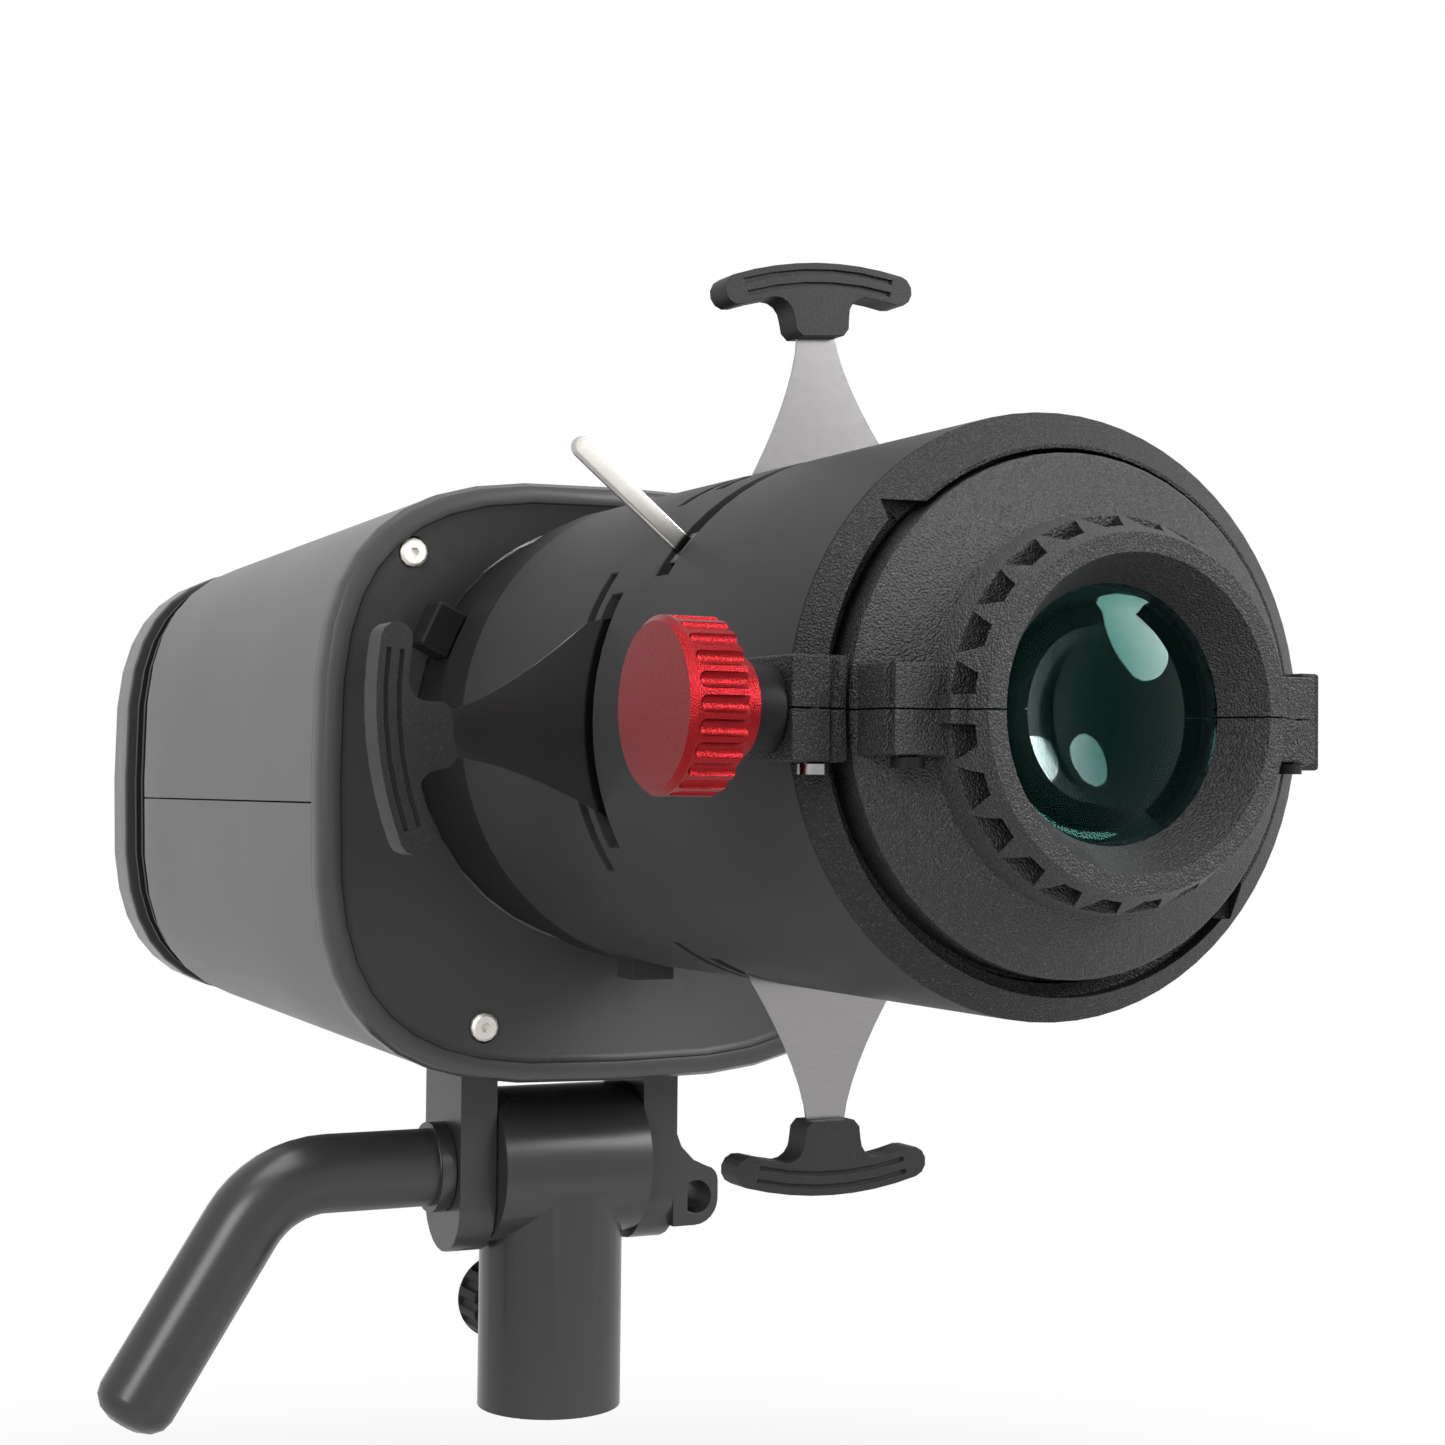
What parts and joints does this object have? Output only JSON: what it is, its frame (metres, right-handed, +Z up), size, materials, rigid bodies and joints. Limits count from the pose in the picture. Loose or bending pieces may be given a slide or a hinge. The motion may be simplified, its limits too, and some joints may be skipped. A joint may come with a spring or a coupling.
{
  "type": "ellipsoidal spotlight",
  "caption": "Ellipsoidal profile spotlight: LED lamp head on a tilt yoke with a bayonet barrel, framing shutters, iris lever, sliding lens tube and red lock knob.",
  "frame": {"origin": "centre of the mouth of the stand socket", "axes": "+Z up, the beam leaves along -Y, +X to the right seen from the front"},
  "size_m": [0.2085, 0.4507, 0.2624],
  "materials": {
    "barrel_black": "matte black paint",
    "rim_black": "fine moulded texture",
    "shell_grey": "satin grey",
    "bezel_grey": "satin dark grey",
    "panel_grey": "satin",
    "bracket_grey": "satin dark grey paint",
    "red_anodised": "red anodised",
    "steel": "satin",
    "blade_steel": "rolled sheet",
    "rubber": "matte",
    "glass": "coated",
    "aluminium": "turned",
    "dark_plastic": "matte",
    "led_yellow": "phosphor"
  },
  "bodies": {
    "stand": {"stand_socket": "bracket_grey"},
    "stand_lock": {"stand_lock_knob": "dark_plastic"},
    "tilt_lever": {"tilt_handle": "bracket_grey", "tilt_stud": "steel"},
    "lens_tube": {"lens_tube_upper": "rim_black", "lens_tube_lower": "rim_black", "front_lens": "glass", "rear_lens": "glass", "ear_screw_left": "dark_plastic", "ear_screw_right": "dark_plastic"},
    "tube_lock": {"lock_knob": "red_anodised"},
    "bayonet_catch": {"release_catch": "dark_plastic"},
    "fan": {"fan_rotor": "dark_plastic"},
    "dial": {"dimmer_dial": "dark_plastic"},
    "switch": {"power_switch": "dark_plastic"},
    "iris_drive": {"iris_drive_ring": "blade_steel", "iris_lever": "steel"},
    "shutter_bottom": {"shutter_blade_bottom": "blade_steel", "shutter_grip_bottom": "rubber"},
    "shutter_left": {"shutter_blade_left": "blade_steel", "shutter_grip_left": "rubber"},
    "shutter_right": {"shutter_blade_right": "blade_steel", "shutter_grip_right": "rubber"},
    "shutter_top": {"shutter_blade_top": "blade_steel", "shutter_grip_top": "rubber"},
    "leaf_1": {"iris_leaf_1": "dark_plastic"},
    "leaf_2": {"iris_leaf_2": "dark_plastic"},
    "leaf_3": {"iris_leaf_3": "dark_plastic"},
    "leaf_4": {"iris_leaf_4": "dark_plastic"},
    "leaf_5": {"iris_leaf_5": "dark_plastic"},
    "head": {"barrel": "barrel_black", "front_rim": "rim_black", "rim_lug_upper": "rim_black", "rim_lug_lower": "rim_black", "bayonet_adapter": "dark_plastic", "knob_bush": "dark_plastic", "condenser_ring": "dark_plastic", "vent_grille": "dark_plastic", "power_inlet": "dark_plastic", "fan_frame": "dark_plastic", "mount_ring": "aluminium", "bulkhead": "aluminium", "heat_sink": "aluminium", "gate_plate_front": "blade_steel", "gate_plate_rear": "blade_steel", "iris_base": "blade_steel", "lug_screw": "steel", "panel_screw_upper_left": "steel", "panel_screw_upper_right": "steel", "panel_screw_lower_left": "steel", "panel_screw_lower_right": "steel", "condenser_lens": "glass", "front_bezel": "bezel_grey", "rear_cap": "bezel_grey", "front_panel": "panel_grey", "shell_upper": "shell_grey", "shell_lower": "shell_grey", "yoke_cheek_left": "bracket_grey", "yoke_cheek_right": "bracket_grey", "led_board": "led_yellow"}
  },
  "joints": [
    {"name": "head_tilt", "type": "hinge", "parent": "stand", "child": "head", "pos_m": [0, 0, 0.061], "axis": [1, 0, 0], "range_deg": [-60, 60]},
    {"name": "stand_lock_turn", "type": "hinge", "parent": "stand", "child": "stand_lock", "pos_m": [0, 0.0235, 0.02], "axis": [0, 1, 0], "range_deg": [-180, 180]},
    {"name": "tilt_handle_turn", "type": "hinge", "parent": "head", "child": "tilt_lever", "pos_m": [0, 0, 0.061], "axis": [1, 0, 0], "range_deg": [-30, 30]},
    {"name": "lens_focus_slide", "type": "slide", "parent": "head", "child": "lens_tube", "axis": [0, -1, 0], "range_m": [0, 0.02]},
    {"name": "tube_lock_turn", "type": "hinge", "parent": "head", "child": "tube_lock", "pos_m": [-0.0778, -0.2223, 0.168], "axis": [-1, 0, 0], "range_deg": [-180, 180]},
    {"name": "catch_slide", "type": "slide", "parent": "head", "child": "bayonet_catch", "axis": [-0.9063, 0, 0.4226], "range_m": [0, 0.003], "stiffness_N_per_m": 400},
    {"name": "fan_spin", "type": "hinge", "parent": "head", "child": "fan", "pos_m": [0, 0.0885, 0.168], "axis": [0, 1, 0], "continuous": true},
    {"name": "dimmer_turn", "type": "hinge", "parent": "head", "child": "dial", "pos_m": [0.026, 0.1865, 0.1743], "axis": [0, 1, 0], "range_deg": [-150, 150]},
    {"name": "power_rock", "type": "hinge", "parent": "head", "child": "switch", "pos_m": [-0.03, 0.1945, 0.1743], "axis": [0, 0, 1], "range_deg": [-6, 6]},
    {"name": "shutter_bottom_slide", "type": "slide", "parent": "head", "child": "shutter_bottom", "axis": [0, 0, -1], "range_m": [-0.022, 0.002]},
    {"name": "shutter_left_slide", "type": "slide", "parent": "head", "child": "shutter_left", "axis": [-0.9936, 0, -0.1132], "range_m": [-0.022, 0.002]},
    {"name": "shutter_right_slide", "type": "slide", "parent": "head", "child": "shutter_right", "axis": [1, 0, 0], "range_m": [-0.022, 0.002]},
    {"name": "shutter_top_slide", "type": "slide", "parent": "head", "child": "shutter_top", "axis": [-0.0906, 0, 0.9959], "range_m": [-0.022, 0.002]},
    {"name": "iris_lever_turn", "type": "hinge", "parent": "head", "child": "iris_drive", "pos_m": [0, -0.1567, 0.168], "axis": [0, 1, 0], "range_deg": [0, 40]},
    {"name": "leaf_1_turn", "type": "hinge", "parent": "head", "child": "leaf_1", "pos_m": [0.04041, -0.1545, 0.18271], "axis": [0, 1, 0], "range_deg": [0, 30]},
    {"name": "leaf_2_turn", "type": "hinge", "parent": "head", "child": "leaf_2", "pos_m": [-0.0015, -0.154, 0.21097], "axis": [0, 1, 0], "range_deg": [0, 30]},
    {"name": "leaf_3_turn", "type": "hinge", "parent": "head", "child": "leaf_3", "pos_m": [-0.04133, -0.1535, 0.17985], "axis": [0, 1, 0], "range_deg": [0, 30]},
    {"name": "leaf_4_turn", "type": "hinge", "parent": "head", "child": "leaf_4", "pos_m": [-0.02405, -0.153, 0.13235], "axis": [0, 1, 0], "range_deg": [0, 30]},
    {"name": "leaf_5_turn", "type": "hinge", "parent": "head", "child": "leaf_5", "pos_m": [0.02647, -0.1525, 0.13412], "axis": [0, 1, 0], "range_deg": [0, 30]}
  ],
  "couplings": [
    {"joint": "leaf_1_turn", "follows": "iris_lever_turn", "ratio": 0.75},
    {"joint": "leaf_2_turn", "follows": "iris_lever_turn", "ratio": 0.75},
    {"joint": "leaf_3_turn", "follows": "iris_lever_turn", "ratio": 0.75},
    {"joint": "leaf_4_turn", "follows": "iris_lever_turn", "ratio": 0.75},
    {"joint": "leaf_5_turn", "follows": "iris_lever_turn", "ratio": 0.75}
  ]
}
